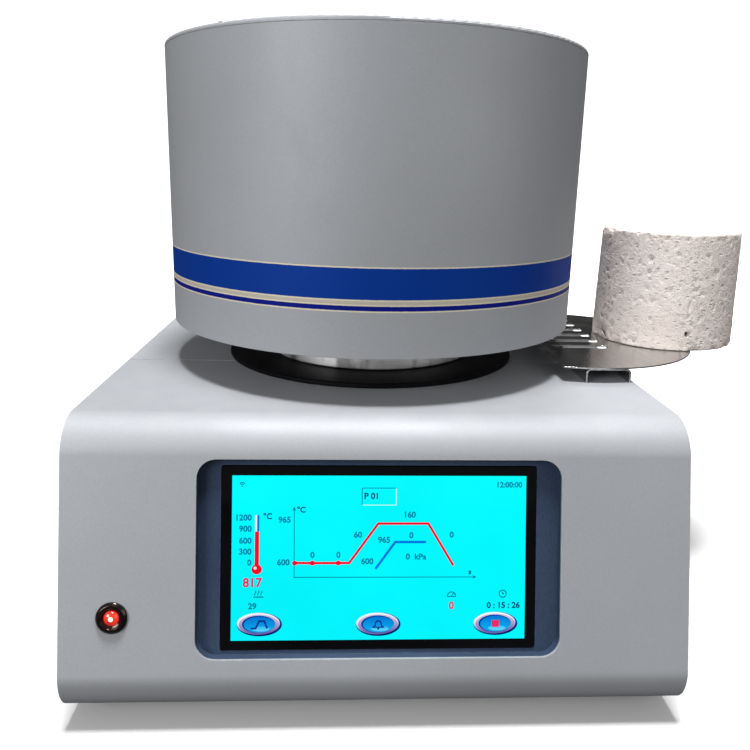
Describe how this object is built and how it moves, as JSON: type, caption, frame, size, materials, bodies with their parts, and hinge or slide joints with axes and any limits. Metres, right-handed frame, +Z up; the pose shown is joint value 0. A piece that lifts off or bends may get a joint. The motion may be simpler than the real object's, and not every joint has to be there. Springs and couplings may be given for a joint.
{
  "type": "vacuum porcelain furnace",
  "caption": "Bench-top vacuum firing furnace: leaning screen casing, round lifting head over a sealed hearth, side cooling tray with a loose refractory pedestal.",
  "frame": {"origin": "middle of the whole object's footprint, on the surface that the feet stand on", "axes": "+Z up; +X to the right seen from the screen side; +Y from the screen to the rear panel"},
  "size_m": [0.4304, 0.412, 0.3985],
  "materials": {
    "silver_paint": "satin metallic",
    "recess_paint": "satin",
    "zinc_steel": "zinc plated",
    "screws": "socket screws",
    "rubber": "matt",
    "silicone": "satin",
    "screen_glass": "polished",
    "display": "satin",
    "circuit_board": "solder mask",
    "dark_chrome": "polished",
    "red_lens": "glowing",
    "black_anodised": "satin black",
    "refractory": "rough",
    "fibre": "fibrous",
    "quartz": "clear",
    "stainless": "machined",
    "polished_stainless": "polished, streaked",
    "hard_steel": "ground",
    "aluminium": "machined",
    "bronze": "machined",
    "heater_wire": "oxidised",
    "black_plastic": "fine grain",
    "motor": "satin"
  },
  "bodies": {
    "base": {"front_cover": "silver_paint", "rear_top_cover": "silver_paint", "left_side_panel": "silver_paint", "right_side_panel": "silver_paint", "bottom_plate": "zinc_steel", "rear_panel": "silver_paint", "feet": "rubber", "casing_screws": "screws", "screen_pan": "recess_paint", "touch_panel": "screen_glass", "lcd_module": "display", "screen_frame": "zinc_steel", "control_board": "circuit_board", "lamp_bezel": "dark_chrome", "lamp_lens": "red_lens", "lamp_nut": "dark_chrome", "seal_plate": "black_anodised", "seal_ring": "silicone", "hearth_plate": "refractory", "deck_plate": "zinc_steel", "deck_posts": "zinc_steel", "guide_rods": "hard_steel", "column_bridge": "aluminium", "column_cover": "silver_paint", "column_cap": "black_plastic", "lift_motor": "motor", "tray_bracket": "stainless", "cooling_tray": "polished_stainless", "fan_frame": "black_plastic", "power_inlet": "black_plastic", "pump_outlet": "black_plastic", "switch_body": "black_plastic", "vacuum_port": "bronze", "vacuum_valve": "bronze", "transformer": "motor", "heater_relay": "aluminium"},
    "head": {"carriage_block": "aluminium", "linear_bearings": "hard_steel", "lead_nut": "bronze", "lift_arm": "zinc_steel", "head_casing": "silver_paint", "head_lid": "silver_paint", "head_posts": "screws", "head_floor": "aluminium", "head_screws": "screws", "chamber_ring": "stainless", "chamber_can": "zinc_steel", "can_lid": "zinc_steel", "insulation_collar": "fibre", "insulation_ring": "fibre", "insulation_top": "fibre", "heating_muffle": "quartz", "heating_coil": "heater_wire", "thermocouple": "heater_wire", "heater_terminals": "heater_wire", "vacuum_elbow": "bronze"},
    "lift_screw": {"lead_screw": "hard_steel"},
    "fan_wheel": {"fan_rotor": "black_plastic"},
    "rocker": {"switch_rocker": "black_plastic"},
    "pedestal": {"firing_pedestal": "refractory"}
  },
  "joints": [
    {"name": "head_lift", "type": "slide", "parent": "base", "child": "head", "axis": [0, 0, 1], "range_m": [0, 0.138]},
    {"name": "screw_turn", "type": "hinge", "parent": "base", "child": "lift_screw", "pos_m": [-0.04997, 0.15313, 0.152], "axis": [0, 0, 1], "range_deg": [0, 4973]},
    {"name": "fan_spin", "type": "hinge", "parent": "base", "child": "fan_wheel", "pos_m": [-0.17097, 0.17353, 0.085], "axis": [0, 1, 0], "continuous": true},
    {"name": "rocker_tip", "type": "hinge", "parent": "base", "child": "rocker", "pos_m": [0.06003, 0.18703, 0.08], "axis": [-1, 0, 0], "range_deg": [0, 16]},
    {"name": "pedestal_lift", "type": "slide", "parent": "base", "child": "pedestal", "axis": [0, 0, 1], "range_m": [0, 0.12]}
  ],
  "couplings": [
    {"joint": "screw_turn", "follows": "head_lift", "rad_per_m": 628.32}
  ]
}
